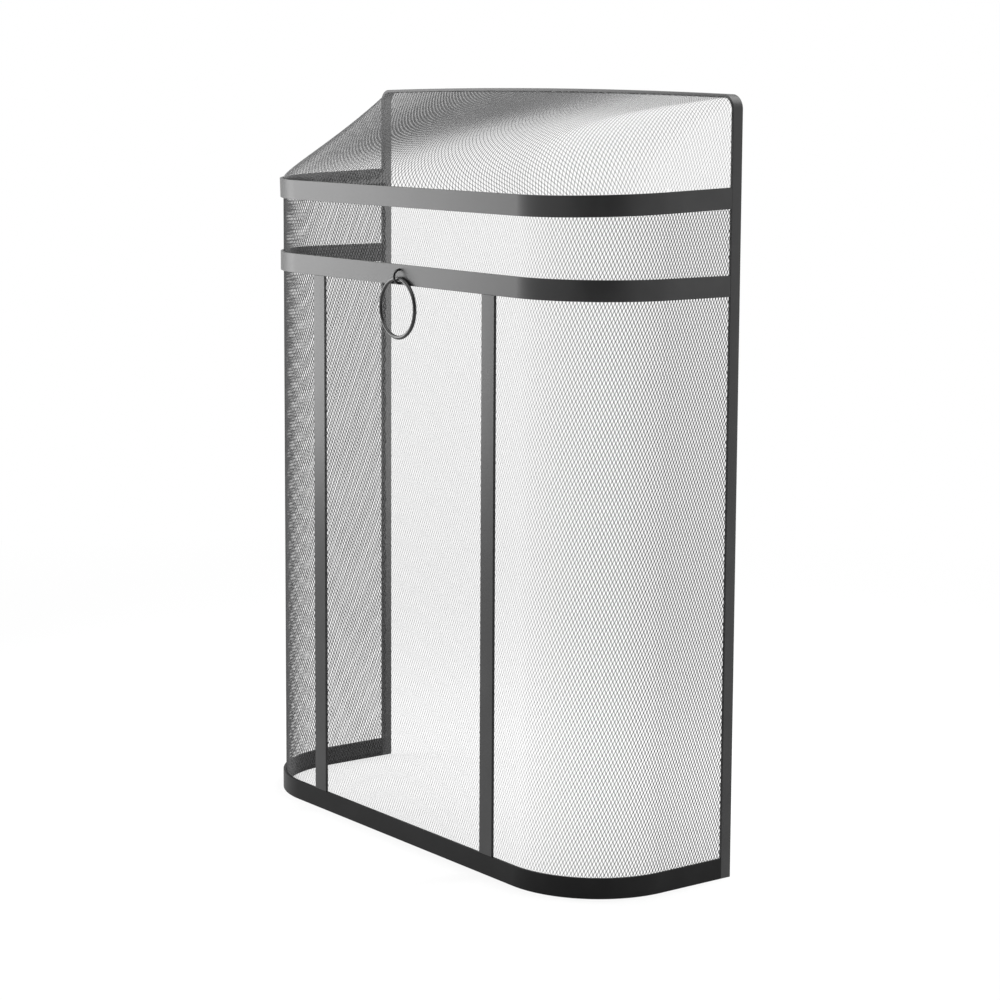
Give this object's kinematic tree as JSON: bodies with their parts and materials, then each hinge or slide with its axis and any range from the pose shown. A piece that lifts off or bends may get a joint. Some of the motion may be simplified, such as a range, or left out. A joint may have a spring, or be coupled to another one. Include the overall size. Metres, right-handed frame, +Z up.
{
  "type": "fireplace screen",
  "caption": "Free-standing wrap-round fireguard: flat-bar frame, expanded-metal screen with rounded corners, sloping mesh hood and a hanging pull ring, open at the back.",
  "frame": {"origin": "middle of the guard's footprint, on the floor", "axes": "+Z up, -Y is the closed front, +Y is the open back towards the fire, X runs across the width"},
  "size_m": [0.578, 0.196, 0.7539],
  "materials": {
    "frame_black": "satin powder coat",
    "mesh_black": "satin powder coat over expanded metal",
    "ring_black": "satin black paint"
  },
  "bodies": {
    "guard": {"back_arch": "frame_black", "bottom_band": "frame_black", "middle_band": "frame_black", "upper_band": "frame_black", "left_front_bar": "frame_black", "right_front_bar": "frame_black", "wrap_mesh": "mesh_black", "hood_mesh": "mesh_black", "pull_staple": "ring_black"},
    "ring": {"pull_ring": "ring_black"}
  },
  "joints": [
    {"name": "ring_swing", "type": "hinge", "parent": "guard", "child": "ring", "pos_m": [0, -0.0923, 0.56803], "axis": [-1, 0, 0], "range_deg": [0, 180]}
  ]
}
